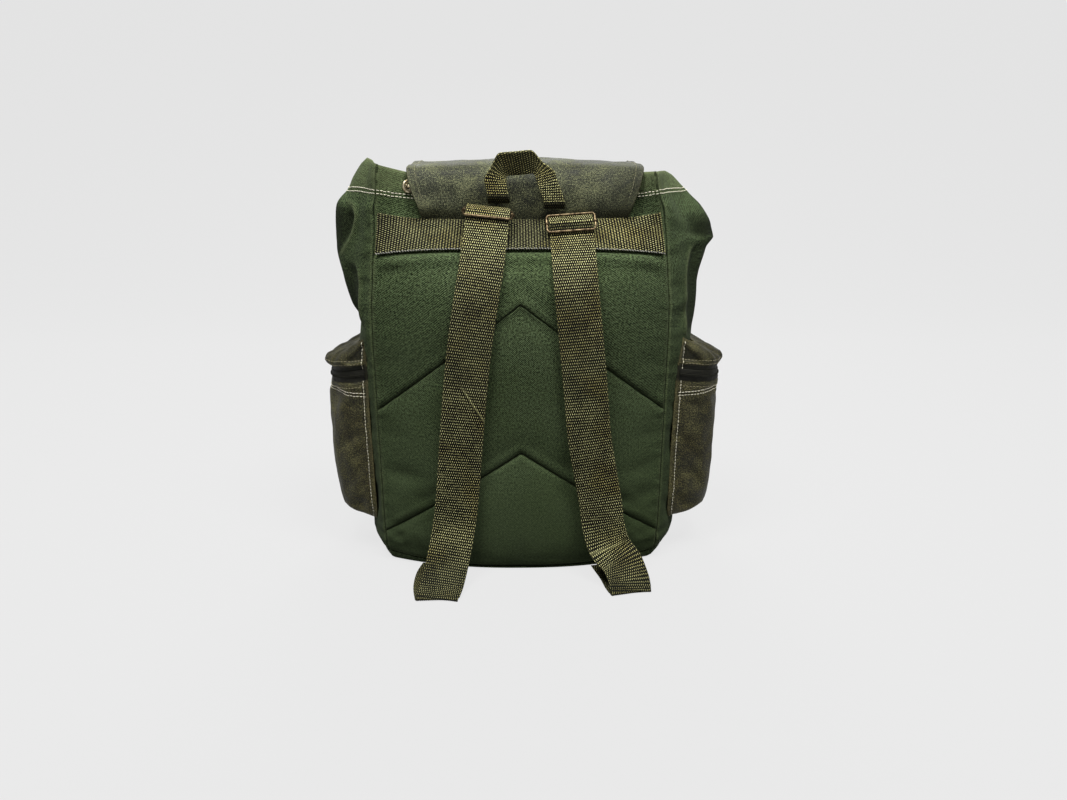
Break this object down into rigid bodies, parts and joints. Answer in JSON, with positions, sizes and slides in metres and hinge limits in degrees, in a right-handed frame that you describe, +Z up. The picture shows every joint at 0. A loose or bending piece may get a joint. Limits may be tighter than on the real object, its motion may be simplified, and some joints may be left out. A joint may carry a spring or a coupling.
{
  "type": "hunting rucksack",
  "caption": "Soft square hunting rucksack with webbing shoulder straps, wire sliders, carry handle, flap lid and zipped side pockets.",
  "frame": {"origin": "middle of the flat underside of the base, on the floor", "axes": "+Z up; -Y out of the back panel with the shoulder straps; +X to the right of someone who looks at the back panel"},
  "size_m": [0.4978, 0.3111, 0.4928],
  "materials": {
    "green_oxford": "dark green coated oxford cloth, matt",
    "waxed_canvas_lid": "dark grey-green waxed canvas, slightly worn",
    "waxed_canvas_pocket": "dark olive-brown waxed canvas, slightly worn",
    "olive_webbing": "woven polypropylene webbing, olive with pale flecks",
    "antique_brass_wire": "antique plated wire",
    "zip_tape": "dark zip tape and coil",
    "eyelet_brass": "pressed brass",
    "cream_cord": "braided cotton cord"
  },
  "bodies": {
    "root": {"back_panel": "green_oxford", "side_panel_left": "green_oxford", "side_panel_right": "green_oxford", "front_panel": "green_oxford", "base_panel": "green_oxford", "lid": "waxed_canvas_lid", "side_pocket_left": "waxed_canvas_pocket", "side_pocket_right": "waxed_canvas_pocket", "webbing_band": "olive_webbing", "shoulder_strap_left": "olive_webbing", "shoulder_strap_right": "olive_webbing", "carry_handle": "olive_webbing", "strap_slider_left": "antique_brass_wire", "strap_slider_right": "antique_brass_wire", "pocket_zip_left": "zip_tape", "pocket_zip_right": "zip_tape", "eyelet_left": "eyelet_brass", "eyelet_right": "eyelet_brass", "drawcord": "cream_cord"}
  },
  "joints": []
}
